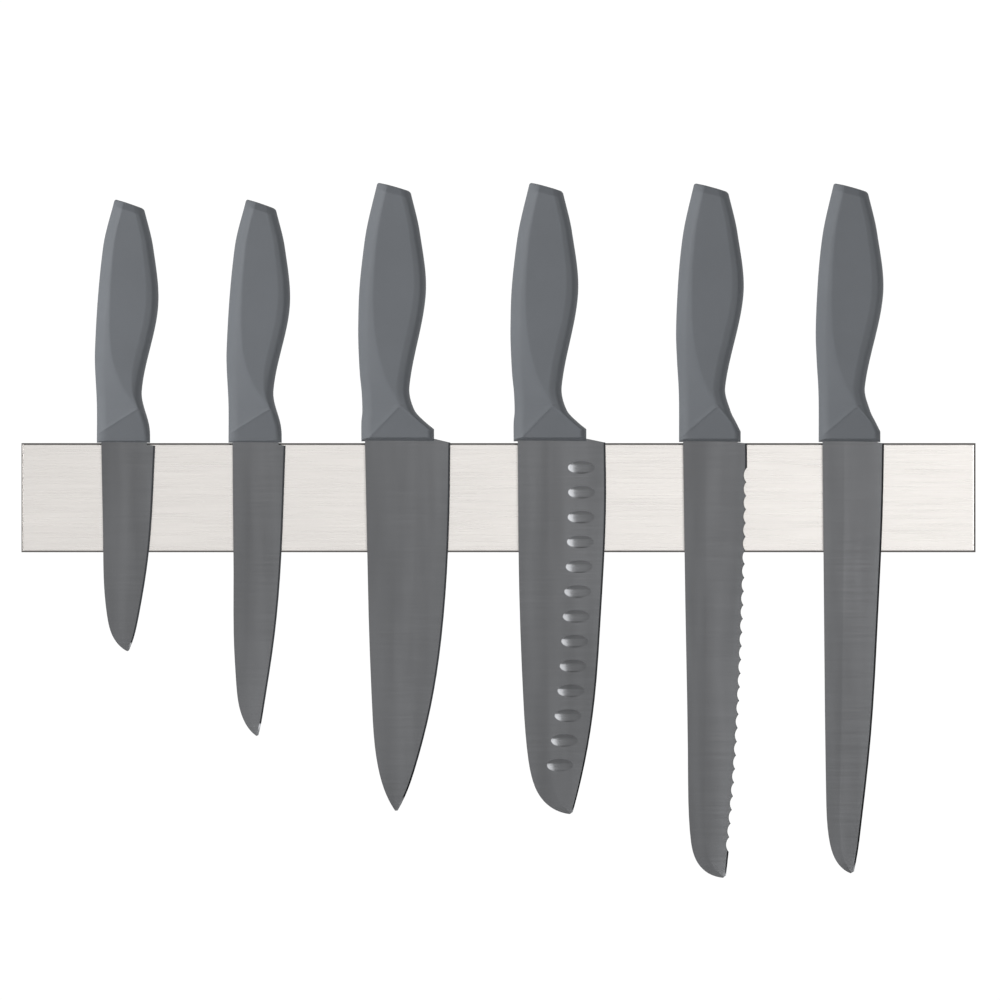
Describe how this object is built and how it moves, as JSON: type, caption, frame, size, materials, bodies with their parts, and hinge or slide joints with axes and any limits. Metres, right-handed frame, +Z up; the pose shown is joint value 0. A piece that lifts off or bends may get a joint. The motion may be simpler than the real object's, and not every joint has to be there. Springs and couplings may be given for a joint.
{
  "type": "magnetic knife rack",
  "caption": "Wall-mounted magnetic bar of brushed stainless steel holding upright kitchen knives with soft-touch handles, each of which pulls off the face.",
  "frame": {"origin": "centre of the rack's back face, on the wall", "axes": "+X along the rack to the viewer's right, +Y out of the rack's back into the wall, +Z up"},
  "size_m": [0.45, 0.0271, 0.3277],
  "materials": {
    "brushed_stainless": "brushed along the bar",
    "black_abs": "moulded, matt",
    "ferrite": "sintered, matt dark grey",
    "mild_steel": "zinc plated",
    "foam_tape": "matt foam",
    "screw_steel": "zinc plated",
    "coated_blade": "dark grey satin coating on stainless steel",
    "core_plastic": "rigid polypropylene",
    "soft_touch_grip": "soft-touch, matt blue-grey"
  },
  "bodies": {
    "rack": {"front_cover": "brushed_stainless", "magnet_carrier": "black_abs", "magnets_upper": "ferrite", "magnets_lower": "ferrite", "yoke_plate": "mild_steel", "bond_tapes": "foam_tape", "back_plate": "black_abs", "back_screws": "screw_steel"},
    "paring_knife": {"paring_blade": "coated_blade", "paring_handle_core": "core_plastic", "paring_grip": "soft_touch_grip"},
    "utility_knife": {"utility_blade": "coated_blade", "utility_handle_core": "core_plastic", "utility_grip": "soft_touch_grip"},
    "chef_knife": {"chef_blade": "coated_blade", "chef_handle_core": "core_plastic", "chef_grip": "soft_touch_grip"},
    "santoku_knife": {"santoku_blade": "coated_blade", "santoku_handle_core": "core_plastic", "santoku_grip": "soft_touch_grip"},
    "bread_knife": {"bread_blade": "coated_blade", "bread_handle_core": "core_plastic", "bread_grip": "soft_touch_grip"},
    "carving_knife": {"carving_blade": "coated_blade", "carving_handle_core": "core_plastic", "carving_grip": "soft_touch_grip"}
  },
  "joints": [
    {"name": "paring_pull_off", "type": "slide", "parent": "rack", "child": "paring_knife", "axis": [0, -1, 0], "range_m": [0, 0.06]},
    {"name": "utility_pull_off", "type": "slide", "parent": "rack", "child": "utility_knife", "axis": [0, -1, 0], "range_m": [0, 0.06]},
    {"name": "chef_pull_off", "type": "slide", "parent": "rack", "child": "chef_knife", "axis": [0, -1, 0], "range_m": [0, 0.06]},
    {"name": "santoku_pull_off", "type": "slide", "parent": "rack", "child": "santoku_knife", "axis": [0, -1, 0], "range_m": [0, 0.06]},
    {"name": "bread_pull_off", "type": "slide", "parent": "rack", "child": "bread_knife", "axis": [0, -1, 0], "range_m": [0, 0.06]},
    {"name": "carving_pull_off", "type": "slide", "parent": "rack", "child": "carving_knife", "axis": [0, -1, 0], "range_m": [0, 0.06]}
  ]
}
